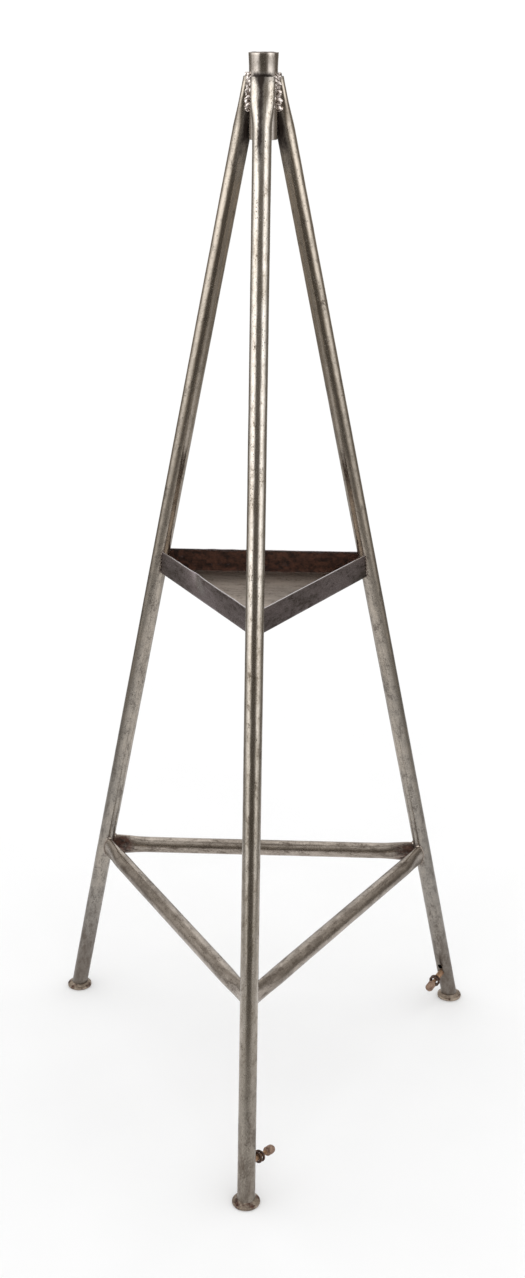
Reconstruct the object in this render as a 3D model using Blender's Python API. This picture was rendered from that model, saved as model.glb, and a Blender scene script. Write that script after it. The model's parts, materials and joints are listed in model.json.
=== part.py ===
"""A welded tubular steel tripod stand.

Three legs lean in to an open socket tube at the top, which takes an upright post. A shallow
three-sided tray hangs between the legs at mid height, a ring of three braces ties them lower
down, and each leg stands on a round disc foot. The front leg and the right leg each carry a
threaded stud with a loose spring washer and a domed cap nut.

Metres, +Z up. The origin is on the floor, in the middle of the footprint's box. The front leg
points along -Y, and the tripod's own axis stands AXIS_Y behind the origin.
"""

import math

import bmesh
import bpy
from mathutils import Matrix, Vector

INCH = 0.0254
GAP = 0.0003
TUBE_SIDES = 24
TURNED_SIDES = 32
FOOT_SIDES = 36

# Tubes.
LEG_OUTER = 1.0 * INCH
BRACE_OUTER = 0.99 * INCH
SOCKET_OUTER = 1.5 * INCH
TUBE_WALL = 0.0016
SOCKET_WALL = 0.0026

# The centreline of a leg, as distances from the tripod's axis at three heights.
FOOT_THICKNESS = 0.004
FOOT_RADIUS = 0.366
KNEE_Z = 0.291
KNEE_RADIUS = 0.300
HEAD_Z = 1.488
HEAD_RADIUS = 0.0197
LEG_TOP_Z = 1.498

# The flattened head of a leg, which hugs the socket tube.
SQUASH_START_Z = 1.432
SQUASH_END_Z = 1.476
SQUASH_STEPS = 5
SQUASH_HALF_WIDTH = 0.0162
SQUASH_HALF_DEPTH = 0.0090

# The socket tube.
SOCKET_BOTTOM_Z = 1.4186
SOCKET_TOP_Z = 1.5276
SOCKET_FLARE_START_Z = 1.507
SOCKET_FLARE = 0.0008
SOCKET_LIP = 0.0006

# The brace ring. Each end is pinched, taller than it is wide, where it meets a leg.
BRACE_END_HALF_WIDTH = 0.0072
BRACE_END_HALF_HEIGHT = 0.0168
BRACE_PINCH_LENGTH = 0.020
BRACE_FLARE_LENGTH = 0.072
BRACE_FLARE_STEPS = 3

# The tray.
TRAY_BOTTOM_Z = 0.7855
TRAY_HEIGHT = 0.0352
TRAY_INRADIUS = 0.0934
TRAY_SHEET = 0.0019
# The floor stops this far from the legs, which lean in over it.
TRAY_FLOOR_CLEARANCE = 0.0012

# The feet.
FOOT_DISC_RADIUS = 0.020
FOOT_EDGE = 0.0008
FOOT_FILLET_FOOT_RADIUS = 0.0172
FOOT_FILLET_TOP_RADIUS = 0.0147
FOOT_FILLET_HEIGHT = 0.003

# The studs. Distances along a stud are from its leg's centreline.
STUD_Z = 0.057
STUD_HEAD_RADIUS = 0.0055
STUD_HEAD_START = 0.0045
STUD_HEAD_END = 0.0089
STUD_SHOULDER_RADIUS = 0.00475
STUD_SHOULDER_END = 0.0267
STUD_THREAD_RADIUS = 0.125 * INCH
STUD_END = 0.0567
STUD_CHAMFER = 0.0007
STUD_HOLE_RADIUS = 0.0053
SPARE_HOLE_RADIUS = 0.0042
SPARE_HOLE_RISE = 0.0125

# The cap nuts. Each is backed off from its home place by whole turns of a 20 per inch thread.
THREAD_PITCH = INCH / 20
NUT_HOME = 0.0414
NUT_NECK_RADIUS = 0.0043
NUT_NECK_LENGTH = 0.0024
NUT_RADIUS = 0.00675
NUT_BEVEL = 0.0009
NUT_BARREL_END = 0.012
NUT_DOME_HEIGHT = 0.007
NUT_DOME_STEPS = 6
NUT_BORE_RADIUS = 0.003275
NUT_BORE_DEPTH = 0.0156

# The spring washers, each a coil of two turns.
SPRING_RADIUS = 0.0074
SPRING_WIRE_RADIUS = 0.0018
SPRING_TURNS = 2
SPRING_POINTS_PER_TURN = 24

LEGS = {"front": math.radians(-90), "right": math.radians(30), "left": math.radians(150)}
# A side is named after the azimuth that it faces.
SIDES = {"back": math.radians(90), "left": math.radians(210), "right": math.radians(-30)}
# Each stud: the world azimuth it points along, the turns its nut is backed off, and where its
# washer's coil starts and how long it is.
STUDS = {
    "front": {"azimuth": math.radians(57), "turns": 3, "coil_start": 0.0214, "coil": 0.0130},
    "right": {"azimuth": math.radians(238), "turns": 0, "coil_start": 0.0310, "coil": 0.0080},
}

AXIS_Y = FOOT_RADIUS / 4
LEAN_SLOPE = (KNEE_RADIUS - HEAD_RADIUS) / (HEAD_Z - KNEE_Z)
SHIN_SLOPE = (FOOT_RADIUS - KNEE_RADIUS) / (KNEE_Z - FOOT_THICKNESS)
# A level section through a leaning tube is longer along the lean.
LEAN_STRETCH = math.hypot(1, LEAN_SLOPE)


def clear_scene():
    for old in list(bpy.data.objects):
        bpy.data.objects.remove(old)


def steel(name, colour, roughness):
    material = bpy.data.materials.new(name)
    material.use_nodes = True
    shader = material.node_tree.nodes["Principled BSDF"]
    shader.inputs["Base Color"].default_value = (*colour, 1)
    shader.inputs["Roughness"].default_value = roughness
    shader.inputs["Metallic"].default_value = 1
    return material


def add_object(name, bm, material, parent):
    """An object made from bm, which is freed, under parent."""
    bmesh.ops.recalc_face_normals(bm, faces=bm.faces)
    mesh = bpy.data.meshes.new(name)
    bm.to_mesh(mesh)
    bm.free()
    mesh.shade_smooth()
    mesh.set_sharp_from_angle(angle=math.radians(35))
    return add_mesh(name, mesh, material, parent)


def add_mesh(name, mesh, material, parent):
    thing = bpy.data.objects.new(name, mesh)
    bpy.context.collection.objects.link(thing)
    thing.parent = parent
    if material is not None and not mesh.materials:
        mesh.materials.append(material)
    return thing


def add_empty(name, parent=None, matrix=None):
    empty = bpy.data.objects.new(name, None)
    bpy.context.collection.objects.link(empty)
    empty.parent = parent
    if matrix is not None:
        empty.matrix_local = matrix
    return empty


def make_cutter(thing):
    thing.hide_render = True
    thing.display_type = "WIRE"
    return thing


def cut(thing, *cutters):
    for cutter in cutters:
        boolean = thing.modifiers.new("cut_" + cutter.name, "BOOLEAN")
        boolean.operation = "DIFFERENCE"
        boolean.solver = "EXACT"
        boolean.object = cutter


def skin(rings, closed):
    """A bmesh through rings of points. It joins the last ring to the first if closed, or caps both."""
    bm = bmesh.new()
    loops = [[bm.verts.new(point) for point in ring] for ring in rings]
    count = len(loops[0])
    pairs = list(zip(loops, loops[1:]))
    if closed:
        pairs.append((loops[-1], loops[0]))
    for low, high in pairs:
        for i in range(count):
            j = (i + 1) % count
            bm.faces.new((low[i], low[j], high[j], high[i]))
    if not closed:
        bm.faces.new(loops[0])
        bm.faces.new(loops[-1])
    return bm


def turn(profile, sides):
    """A bmesh turned about Z from a profile of (radius, height) points that starts and ends on the axis."""
    bm = bmesh.new()
    verts = [bm.verts.new((radius, 0, height)) for radius, height in profile]
    edges = [bm.edges.new(pair) for pair in zip(verts, verts[1:])]
    bmesh.ops.spin(
        bm,
        geom=verts + edges,
        axis=(0, 0, 1),
        cent=(0, 0, 0),
        angle=2 * math.pi,
        steps=sides,
        use_merge=True,
    )
    bmesh.ops.remove_doubles(bm, verts=bm.verts, dist=1e-6)
    return bm


def turn_ring(profile, sides):
    """A bmesh turned about Z from a closed profile that stays clear of the axis."""
    rings = []
    for radius, height in profile:
        angles = (2 * math.pi * i / sides for i in range(sides))
        rings.append([(radius * math.cos(a), radius * math.sin(a), height) for a in angles])
    return skin(rings, closed=True)


def box(low, high):
    bm = bmesh.new()
    size = Vector(high) - Vector(low)
    middle = (Vector(high) + Vector(low)) / 2
    matrix = Matrix.Translation(middle) @ Matrix.Diagonal((*size, 1))
    bmesh.ops.create_cube(bm, size=1, matrix=matrix)
    return bm


def smooth_step(value):
    value = min(max(value, 0), 1)
    return value * value * (3 - 2 * value)


def leg_radius(z):
    """How far a leg's centreline is from the tripod's axis at height z."""
    if z < KNEE_Z:
        return KNEE_RADIUS + SHIN_SLOPE * (KNEE_Z - z)
    return KNEE_RADIUS - LEAN_SLOPE * (z - KNEE_Z)


def leg_ring(z, offset):
    """A level section of a leg that points along +X, its surface moved outwards by offset."""
    squash = smooth_step((z - SQUASH_START_Z) / (SQUASH_END_Z - SQUASH_START_Z))
    half_width = LEG_OUTER / 2 + squash * (SQUASH_HALF_WIDTH - LEG_OUTER / 2) + offset
    half_depth = LEG_OUTER / 2 + squash * (SQUASH_HALF_DEPTH - LEG_OUTER / 2) + offset
    centre = leg_radius(z)
    ring = []
    for i in range(TUBE_SIDES):
        angle = 2 * math.pi * i / TUBE_SIDES
        x = centre + LEAN_STRETCH * half_depth * math.cos(angle)
        ring.append((x, half_width * math.sin(angle), z))
    return ring


def leg_heights(bottom, top):
    step = (SQUASH_END_Z - SQUASH_START_Z) / SQUASH_STEPS
    squash = [SQUASH_START_Z + i * step for i in range(SQUASH_STEPS + 1)]
    return [bottom, KNEE_Z, *squash, top]


def leg_tube():
    heights = leg_heights(FOOT_THICKNESS + GAP, LEG_TOP_Z)
    outer = [leg_ring(z, 0) for z in heights]
    inner = [leg_ring(z, -TUBE_WALL) for z in reversed(heights)]
    return skin(outer + inner, closed=True)


def leg_space(gap):
    """The solid space that a leg takes up, with the gap that a neighbour keeps."""
    heights = leg_heights(FOOT_THICKNESS, LEG_TOP_Z)
    return skin([leg_ring(z, gap) for z in heights], closed=False)


def brace_ring(along, half_width, half_height, mitre, end):
    """A section of a brace that lies along X and faces +Y. A mitred one follows the corner's plane."""
    ring = []
    for i in range(TUBE_SIDES):
        angle = 2 * math.pi * i / TUBE_SIDES
        y = half_width * math.cos(angle)
        z = half_height * math.sin(angle)
        back = min(0, math.sqrt(3) * y) if mitre else 0
        ring.append((end * (along + back), y, z))
    return ring


def brace_sections():
    """(distance from the brace's middle, how far it is pinched, whether it is mitred), end to middle."""
    half = math.sqrt(3) * KNEE_RADIUS / 2
    flare = BRACE_FLARE_LENGTH - BRACE_PINCH_LENGTH
    sections = [(half - GAP, 1, True), (half - BRACE_PINCH_LENGTH, 1, False)]
    for i in range(1, BRACE_FLARE_STEPS + 1):
        part = i / BRACE_FLARE_STEPS
        sections.append((half - BRACE_PINCH_LENGTH - flare * part, 1 - smooth_step(part), False))
    return sections


def brace_rings(offset):
    radius = BRACE_OUTER / 2
    rings = []
    for end, sections in ((-1, brace_sections()), (1, reversed(brace_sections()))):
        for along, pinch, mitre in sections:
            half_width = radius + pinch * (BRACE_END_HALF_WIDTH - radius) + offset
            half_height = radius + pinch * (BRACE_END_HALF_HEIGHT - radius) + offset
            rings.append(brace_ring(along, half_width, half_height, mitre, end))
    return rings


def brace_tube():
    return skin(brace_rings(0) + brace_rings(-TUBE_WALL)[::-1], closed=True)


def tray_floor():
    """A level triangle inside the walls, its corners under the legs."""
    corner = 2 * (TRAY_INRADIUS - TRAY_SHEET - GAP)
    bottom = [
        (corner * math.cos(azimuth), corner * math.sin(azimuth), TRAY_BOTTOM_Z)
        for azimuth in LEGS.values()
    ]
    top = [(x, y, z + TRAY_SHEET) for x, y, z in bottom]
    return skin([bottom, top], closed=False)


def tray_wall():
    """A strip on edge that faces +Y and ends at the centrelines of two legs."""
    half = math.sqrt(3) / 2 * leg_radius(TRAY_BOTTOM_Z + TRAY_HEIGHT / 2)
    low = (-half, TRAY_INRADIUS - TRAY_SHEET, TRAY_BOTTOM_Z)
    high = (half, TRAY_INRADIUS, TRAY_BOTTOM_Z + TRAY_HEIGHT)
    return box(low, high)


def foot():
    """A round disc with the low fillet that is run round the bottom of its leg."""
    top = FOOT_THICKNESS + FOOT_FILLET_HEIGHT
    profile = [
        (0, top),
        (FOOT_FILLET_TOP_RADIUS, top),
        (FOOT_FILLET_FOOT_RADIUS, FOOT_THICKNESS),
        (FOOT_DISC_RADIUS - FOOT_EDGE, FOOT_THICKNESS),
        (FOOT_DISC_RADIUS, FOOT_THICKNESS - FOOT_EDGE),
        (FOOT_DISC_RADIUS, FOOT_EDGE),
        (FOOT_DISC_RADIUS - FOOT_EDGE, 0),
        (0, 0),
    ]
    return turn(profile, FOOT_SIDES)


def socket_profile():
    outer = SOCKET_OUTER / 2
    inner = outer - SOCKET_WALL
    return [
        (outer, SOCKET_BOTTOM_Z),
        (outer, SOCKET_FLARE_START_Z),
        (outer + SOCKET_FLARE, SOCKET_TOP_Z - SOCKET_LIP),
        (outer + SOCKET_FLARE - SOCKET_LIP, SOCKET_TOP_Z),
        (inner + SOCKET_FLARE, SOCKET_TOP_Z),
        (inner, SOCKET_FLARE_START_Z),
        (inner, SOCKET_BOTTOM_Z),
    ]


def socket_space():
    radius = SOCKET_OUTER / 2 + GAP
    bottom = SOCKET_BOTTOM_Z - SOCKET_WALL
    profile = [(0, SOCKET_TOP_Z), (radius, SOCKET_TOP_Z), (radius, bottom), (0, bottom)]
    return turn(profile, 2 * TUBE_SIDES)


def stud():
    """A shouldered bolt: its head is inside the leg, and its thinner end carries the thread."""
    profile = [
        (0, STUD_END),
        (STUD_THREAD_RADIUS - STUD_CHAMFER, STUD_END),
        (STUD_THREAD_RADIUS, STUD_END - STUD_CHAMFER),
        (STUD_THREAD_RADIUS, STUD_SHOULDER_END),
        (STUD_SHOULDER_RADIUS, STUD_SHOULDER_END - STUD_CHAMFER),
        (STUD_SHOULDER_RADIUS, STUD_HEAD_END),
        (STUD_HEAD_RADIUS, STUD_HEAD_END),
        (STUD_HEAD_RADIUS, STUD_HEAD_START),
        (0, STUD_HEAD_START),
    ]
    return turn(profile, TURNED_SIDES)


def cap_nut():
    """A domed nut with a short neck. Its blind bore opens at the neck's end, at height 0."""
    dome = []
    for i in range(NUT_DOME_STEPS + 1):
        angle = math.pi / 2 * (1 - i / NUT_DOME_STEPS)
        height = NUT_BARREL_END + NUT_DOME_HEIGHT * math.sin(angle)
        dome.append((NUT_RADIUS * math.cos(angle), height))
    profile = [
        *dome,
        (NUT_RADIUS, NUT_NECK_LENGTH + NUT_BEVEL),
        (NUT_RADIUS - NUT_BEVEL, NUT_NECK_LENGTH),
        (NUT_NECK_RADIUS, NUT_NECK_LENGTH),
        (NUT_NECK_RADIUS, 0),
        (NUT_BORE_RADIUS, 0),
        (NUT_BORE_RADIUS, NUT_BORE_DEPTH),
        (0, NUT_BORE_DEPTH),
    ]
    return turn(profile, TURNED_SIDES)


def spring_washer(name, length, material, parent):
    """A coil of round wire about Z, as a curve with a round bevel and filled caps."""
    curve = bpy.data.curves.new(name, "CURVE")
    curve.dimensions = "3D"
    curve.bevel_depth = SPRING_WIRE_RADIUS
    curve.bevel_resolution = 2
    curve.use_fill_caps = True
    count = SPRING_TURNS * SPRING_POINTS_PER_TURN + 1
    spline = curve.splines.new("POLY")
    spline.points.add(count - 1)
    for i, point in enumerate(spline.points):
        angle = 2 * math.pi * i / SPRING_POINTS_PER_TURN
        height = length * i / (count - 1)
        point.co = (SPRING_RADIUS * math.cos(angle), SPRING_RADIUS * math.sin(angle), height, 1)
    spline.use_smooth = True
    return add_mesh(name, curve, material, parent)


def stud_matrix(leg_azimuth, azimuth):
    """A frame on a leg's centreline whose +Z points along a stud, square to the leg."""
    outwards = Vector((math.cos(leg_azimuth), math.sin(leg_azimuth), 0))
    leg_axis = (Vector((0, 0, 1)) - SHIN_SLOPE * outwards).normalized()
    direction = Vector((math.cos(azimuth), math.sin(azimuth), 0))
    direction -= direction.dot(leg_axis) * leg_axis
    direction.normalize()
    side = leg_axis.cross(direction)
    matrix = Matrix((side, leg_axis, direction)).transposed().to_4x4()
    matrix.translation = leg_radius(STUD_Z) * outwards + Vector((0, 0, STUD_Z))
    return matrix


def hole_cutter(name, radius, rise, parent):
    """A pin along a stud's frame, moved up its leg by rise, which cuts one wall of the tube."""
    length = LEG_OUTER
    profile = [(0, length), (radius, length), (radius, STUD_HEAD_START), (0, STUD_HEAD_START)]
    cutter = add_object(name, turn(profile, TURNED_SIDES), None, parent)
    cutter.location = (0, rise, 0)
    return make_cutter(cutter)


def build_frame(axis, materials):
    """The socket tube, legs, feet, braces and tray. It returns the leg objects by name."""
    tube, sheet, disc = materials["tube"], materials["sheet"], materials["disc"]
    add_object("socket_tube", turn_ring(socket_profile(), 2 * TUBE_SIDES), tube, axis)
    socket_cutter = make_cutter(add_object("socket_space", socket_space(), None, axis))
    legs = {}
    spaces = {}
    wide_spaces = []
    leg_mesh = None
    foot_mesh = None
    for name, azimuth in LEGS.items():
        space = make_cutter(add_object("leg_space_" + name, leg_space(GAP), None, axis))
        space.rotation_euler.z = azimuth
        spaces[name] = space
        clearance = leg_space(TRAY_FLOOR_CLEARANCE)
        wide_space = make_cutter(add_object("leg_clearance_" + name, clearance, None, axis))
        wide_space.rotation_euler.z = azimuth
        wide_spaces.append(wide_space)
        if leg_mesh is None:
            leg = add_object("leg_" + name, leg_tube(), tube, axis)
            leg_mesh = leg.data
        else:
            leg = add_mesh("leg_" + name, leg_mesh, tube, axis)
        leg.rotation_euler.z = azimuth
        cut(leg, socket_cutter)
        legs[name] = leg
        if foot_mesh is None:
            pad = add_object("foot_" + name, foot(), disc, axis)
            foot_mesh = pad.data
        else:
            pad = add_mesh("foot_" + name, foot_mesh, disc, axis)
        pad.rotation_euler.z = azimuth
        pad.location = (FOOT_RADIUS * math.cos(azimuth), FOOT_RADIUS * math.sin(azimuth), 0)
        cut(pad, space)
    for name, azimuth in SIDES.items():
        ends = [spaces[leg] for leg in LEGS if abs(math.cos((LEGS[leg] - azimuth) / 2)) > 0.5]
        brace = add_object("brace_" + name, brace_tube(), tube, axis)
        middle = KNEE_RADIUS / 2
        brace.location = (middle * math.cos(azimuth), middle * math.sin(azimuth), KNEE_Z)
        brace.rotation_euler.z = azimuth - math.pi / 2
        cut(brace, *ends)
        wall = add_object("tray_wall_" + name, tray_wall(), sheet, axis)
        wall.rotation_euler.z = azimuth - math.pi / 2
        cut(wall, *ends)
    floor = add_object("tray_floor", tray_floor(), sheet, axis)
    cut(floor, *wide_spaces)
    return legs


def build_studs(axis, legs, materials):
    """A stud, spring washer and cap nut on each leg that has them, on an empty on their axis."""
    for name, values in STUDS.items():
        matrix = stud_matrix(LEGS[name], values["azimuth"])
        stud_axis = add_empty("stud_axis_" + name, axis, matrix)
        hole = hole_cutter("stud_hole_" + name, STUD_HOLE_RADIUS, 0, stud_axis)
        cut(legs[name], hole)
        add_object("stud_" + name, stud(), materials["bolt"], stud_axis)
        coil = spring_washer(
            "spring_washer_" + name, values["coil"], materials["spring"], stud_axis
        )
        coil.location.z = values["coil_start"]
        nut = add_object("cap_nut_" + name, cap_nut(), materials["nut"], stud_axis)
        nut.location.z = NUT_HOME + values["turns"] * THREAD_PITCH
    spare = bpy.data.objects["stud_axis_right"]
    cut(legs["right"], hole_cutter("spare_hole", SPARE_HOLE_RADIUS, SPARE_HOLE_RISE, spare))


def main():
    clear_scene()
    materials = {
        "tube": steel("aged_steel_tube", (0.30, 0.27, 0.23), 0.38),
        "sheet": steel("browned_steel_sheet", (0.20, 0.17, 0.15), 0.55),
        "disc": steel("rusted_steel_disc", (0.24, 0.17, 0.12), 0.62),
        "bolt": steel("rusted_bolt_steel", (0.42, 0.24, 0.12), 0.58),
        "nut": steel("brown_nut_steel", (0.34, 0.22, 0.17), 0.55),
        "spring": steel("dark_spring_steel", (0.06, 0.045, 0.04), 0.50),
    }
    axis = add_empty("tripod_axis", matrix=Matrix.Translation((0, AXIS_Y, 0)))
    legs = build_frame(axis, materials)
    build_studs(axis, legs, materials)


main()
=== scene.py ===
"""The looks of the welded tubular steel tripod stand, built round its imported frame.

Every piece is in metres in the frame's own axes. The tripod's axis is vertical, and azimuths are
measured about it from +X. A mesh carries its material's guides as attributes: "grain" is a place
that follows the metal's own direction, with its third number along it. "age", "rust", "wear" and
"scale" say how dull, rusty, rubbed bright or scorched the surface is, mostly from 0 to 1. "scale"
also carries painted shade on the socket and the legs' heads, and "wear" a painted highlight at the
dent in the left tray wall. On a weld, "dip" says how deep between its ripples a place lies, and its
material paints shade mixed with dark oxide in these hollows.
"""

import json
import math

import bmesh
import bpy
import numpy as np
from mathutils import Matrix, Vector, noise


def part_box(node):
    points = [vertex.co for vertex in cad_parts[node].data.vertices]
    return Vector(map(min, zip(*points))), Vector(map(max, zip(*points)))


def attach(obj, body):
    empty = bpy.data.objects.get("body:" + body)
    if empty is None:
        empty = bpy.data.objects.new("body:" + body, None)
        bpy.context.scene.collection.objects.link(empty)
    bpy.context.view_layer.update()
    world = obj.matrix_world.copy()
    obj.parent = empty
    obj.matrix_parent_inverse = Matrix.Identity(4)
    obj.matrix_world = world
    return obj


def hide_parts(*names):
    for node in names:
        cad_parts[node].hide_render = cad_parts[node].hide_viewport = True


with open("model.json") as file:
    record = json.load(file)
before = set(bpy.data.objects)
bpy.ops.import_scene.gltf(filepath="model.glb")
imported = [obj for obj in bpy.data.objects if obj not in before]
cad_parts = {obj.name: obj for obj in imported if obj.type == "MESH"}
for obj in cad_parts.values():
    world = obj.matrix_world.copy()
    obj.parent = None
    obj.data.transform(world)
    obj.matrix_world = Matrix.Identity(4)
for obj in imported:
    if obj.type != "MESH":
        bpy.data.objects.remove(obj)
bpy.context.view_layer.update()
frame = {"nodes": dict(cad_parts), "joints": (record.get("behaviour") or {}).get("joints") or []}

# Tubes, as the frame has them.
TUBE_WALL = 0.0016
SOCKET_WALL = 0.0026
SOCKET_RADIUS = 0.01905
LEG_RADIUS = 0.0127
BRACE_RADIUS = 0.01257
WELD_GAP = 0.00005

# The flattened head of a leg.
HEAD_Z = 1.488
HEAD_RADIUS = 0.0197
SQUASH_START_Z = 1.432
SQUASH_END_Z = 1.476
HEAD_HALF_WIDTH = 0.0162
HEAD_HALF_DEPTH = 0.0090

# The pinched ends of a brace.
BRACE_END_HALF_WIDTH = 0.0072
BRACE_END_HALF_HEIGHT = 0.0168
BRACE_PINCH_LENGTH = 0.020
BRACE_FLARE_LENGTH = 0.072

# Sheet and disc.
TRAY_SHEET = 0.0019
FOOT_THICKNESS = 0.004
# Where the dent in the left wall is, as a share of half its length from its middle.
DENT_ALONG = 0.16

# The studs with their washers and nuts, and the holes in the legs.
STUD_Z = 0.057
STUD_HEAD = 0.0055
STUD_SHOULDER = 0.00475
STUD_THREAD = 0.003175
STUD_ROOT = 0.0026
THREAD_PITCH = 0.00127
WIRE_RADIUS = 0.0018
COIL_RADIUS = 0.0074
COIL_TURNS = 2
NUT_RADIUS = 0.00675
NUT_BORE = 0.0034
NUT_BORE_DEPTH = 0.0156
NUT_DOME_START = 0.0120
STUD_HOLE_RADIUS = 0.0053
SPARE_HOLE_RADIUS = 0.0042
SPARE_HOLE_RISE = 0.0125

# How finely round things are cut.
TUBE_SIDES = 72
SOCKET_SIDES = 96
TURNED_SIDES = 48
RING_STEP = 0.009
SHARP = math.radians(38)

LEGS = {"front": math.radians(-90), "right": math.radians(30), "left": math.radians(150)}
SIDES = {"back": math.radians(90), "left": math.radians(210), "right": math.radians(-30)}


# Places that come from the frame.

def box_middle(node):
    low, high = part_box(node)
    return (low + high) / 2


socket_low, socket_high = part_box("socket_tube")
AXIS = np.array([*box_middle("socket_tube").xy, 0])
SOCKET_BOTTOM_Z = socket_low.z
SOCKET_TOP_Z = socket_high.z
LEG_TOP_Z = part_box("leg_front")[1].z
KNEE_Z = box_middle("brace_back").z
KNEE_RADIUS = float(2 * (box_middle("brace_back").y - AXIS[1]))
FOOT_RADIUS = float(AXIS[1] - box_middle("foot_front").y)
FOOT_DISC_RADIUS = (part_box("foot_front")[1].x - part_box("foot_front")[0].x) / 2
TRAY_BOTTOM_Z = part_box("tray_floor")[0].z
TRAY_TOP_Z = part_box("tray_wall_back")[1].z
TRAY_INRADIUS = float(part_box("tray_wall_back")[1].y - AXIS[1])

LEAN_SLOPE = (KNEE_RADIUS - HEAD_RADIUS) / (HEAD_Z - KNEE_Z)
SHIN_SLOPE = (FOOT_RADIUS - KNEE_RADIUS) / (KNEE_Z - FOOT_THICKNESS)
LEAN_STRETCH = math.hypot(1, LEAN_SLOPE)
BRACE_HALF_LENGTH = math.sqrt(3) * KNEE_RADIUS / 2


# Numbers and places.

def step(value, start, end):
    """0 before start, 1 after end, and smooth between them. It takes arrays too."""
    part = np.clip((np.asarray(value, float) - start) / (end - start), 0, 1)
    return part * part * (3 - 2 * part)


def lumps(points, size, seed, stretch=1.0):
    """Smooth noise from about -1 to 1 at each point, with features of size, longer along the third axis."""
    shift = np.array([seed * 7.13, seed * 3.71, seed * 5.39])
    scaled = np.asarray(points) / np.array([size, size, size * stretch]) + shift
    return np.array([noise.noise(Vector(p)) for p in scaled.reshape(-1, 3)]).reshape(scaled.shape[:-1])


def joined(*parts):
    """Points from their separate coordinates, each an array or one number for all."""
    return np.stack(np.broadcast_arrays(*parts), axis=-1)


def full_turn(sides):
    """The angles of that many even steps round a circle."""
    return np.linspace(0, 2 * math.pi, sides, endpoint=False)


def unit(vectors):
    """The vectors, each with its length made 1."""
    return vectors / np.linalg.norm(vectors, axis=-1, keepdims=True)


def from_axis(points):
    """How far each point is from the Z axis."""
    return np.linalg.norm(points[:, :2], axis=1)


def heading(azimuth):
    """The level direction of an azimuth."""
    return np.array([math.cos(azimuth), math.sin(azimuth), 0])


def turned(points, azimuth):
    """Points in a frame whose +X points along azimuth from the tripod's axis, in the frame's own axes."""
    cos, sin = math.cos(azimuth), math.sin(azimuth)
    points = np.asarray(points, float)
    x = points[..., 0] * cos - points[..., 1] * sin
    y = points[..., 0] * sin + points[..., 1] * cos
    return joined(x, y, points[..., 2]) + AXIS


def turned_back(points, azimuth):
    """The opposite of turned."""
    local = np.asarray(points) - AXIS
    cos, sin = math.cos(azimuth), math.sin(azimuth)
    x = local[..., 0] * cos + local[..., 1] * sin
    y = -local[..., 0] * sin + local[..., 1] * cos
    return joined(x, y, local[..., 2])


def leg_radius(z):
    """How far a leg's centreline is from the tripod's axis at height z."""
    shin = KNEE_RADIUS + SHIN_SLOPE * (KNEE_Z - z)
    return np.where(np.asarray(z) < KNEE_Z, shin, KNEE_RADIUS - LEAN_SLOPE * (z - KNEE_Z))


def head_section(z):
    """The half width and half depth of a leg's level section at height z."""
    squash = step(z, SQUASH_START_Z, SQUASH_END_Z)
    half_width = LEG_RADIUS + squash * (HEAD_HALF_WIDTH - LEG_RADIUS)
    half_depth = LEG_RADIUS + squash * (HEAD_HALF_DEPTH - LEG_RADIUS)
    return half_width, half_depth * LEAN_STRETCH


# Meshes.

def linked(name, data):
    """A new object for data, in the scene."""
    thing = bpy.data.objects.new(name, data)
    bpy.context.scene.collection.objects.link(thing)
    return thing


def mesh_object(name, points, faces):
    mesh = bpy.data.meshes.new(name)
    mesh.from_pydata(np.asarray(points).reshape(-1, 3).tolist(), [], faces)
    bm = bmesh.new()
    bm.from_mesh(mesh)
    bmesh.ops.recalc_face_normals(bm, faces=bm.faces)
    bm.to_mesh(mesh)
    bm.free()
    return linked(name, mesh)


def loft(name, rings, loop=False, poles=()):
    """An object through closed rings of points.

    It joins the last ring to the first if loop, or else closes each end on its pole, or with a flat cap.
    """
    rings = np.asarray(rings)
    rows, sides = rings.shape[:2]
    faces = []
    for low in range(rows if loop else rows - 1):
        high = (low + 1) % rows
        for i in range(sides):
            j = (i + 1) % sides
            faces.append((low * sides + i, low * sides + j, high * sides + j, high * sides + i))
    points = rings.reshape(-1, 3)
    last = (rows - 1) * sides
    if len(poles):
        for pole, ring in (len(points), 0), (len(points) + 1, last):
            faces += [(pole, ring + i, ring + (i + 1) % sides) for i in range(sides)]
        points = np.concatenate([points, poles])
    elif not loop:
        faces += [tuple(range(sides)), tuple(range(last, last + sides))]
    return mesh_object(name, points, faces)


def lathe(name, profile, sides, loop=False):
    """An object turned about Z from (radius, height) points. An open profile has both ends on the axis."""
    profile = np.asarray(profile, float)[:, None, :]
    angles = full_turn(sides)
    circle = joined(np.cos(angles), np.sin(angles), 0)
    rings = profile[..., :1] * circle + profile[..., 1:] * [0, 0, 1]
    if loop:
        return loft(name, rings, loop=True)
    return loft(name, rings[1:-1], poles=rings[[0, -1], 0])


def points_of(thing, what="co"):
    """The place of every vertex, or its normal."""
    found = np.empty(len(thing.data.vertices) * 3)
    thing.data.vertices.foreach_get(what, found)
    return found.reshape(-1, 3)


def move_points(thing, points):
    thing.data.vertices.foreach_set("co", np.asarray(points, float).ravel())
    thing.data.update()


def carve(thing, *cutters):
    """Cuts the cutters from thing and keeps the result as its mesh."""
    for cutter in cutters:
        boolean = thing.modifiers.new("carve", "BOOLEAN")
        boolean.operation = "DIFFERENCE"
        boolean.solver = "EXACT"
        boolean.object = cutter
    graph = bpy.context.evaluated_depsgraph_get()
    carved = bpy.data.meshes.new_from_object(thing.evaluated_get(graph))
    # Corners that the cut leaves twice in one place are joined, so that the mesh is closed.
    bm = bmesh.new()
    bm.from_mesh(carved)
    bmesh.ops.remove_doubles(bm, verts=bm.verts, dist=1e-6)
    bm.to_mesh(carved)
    bm.free()
    thing.modifiers.clear()
    thing.data = carved


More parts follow.
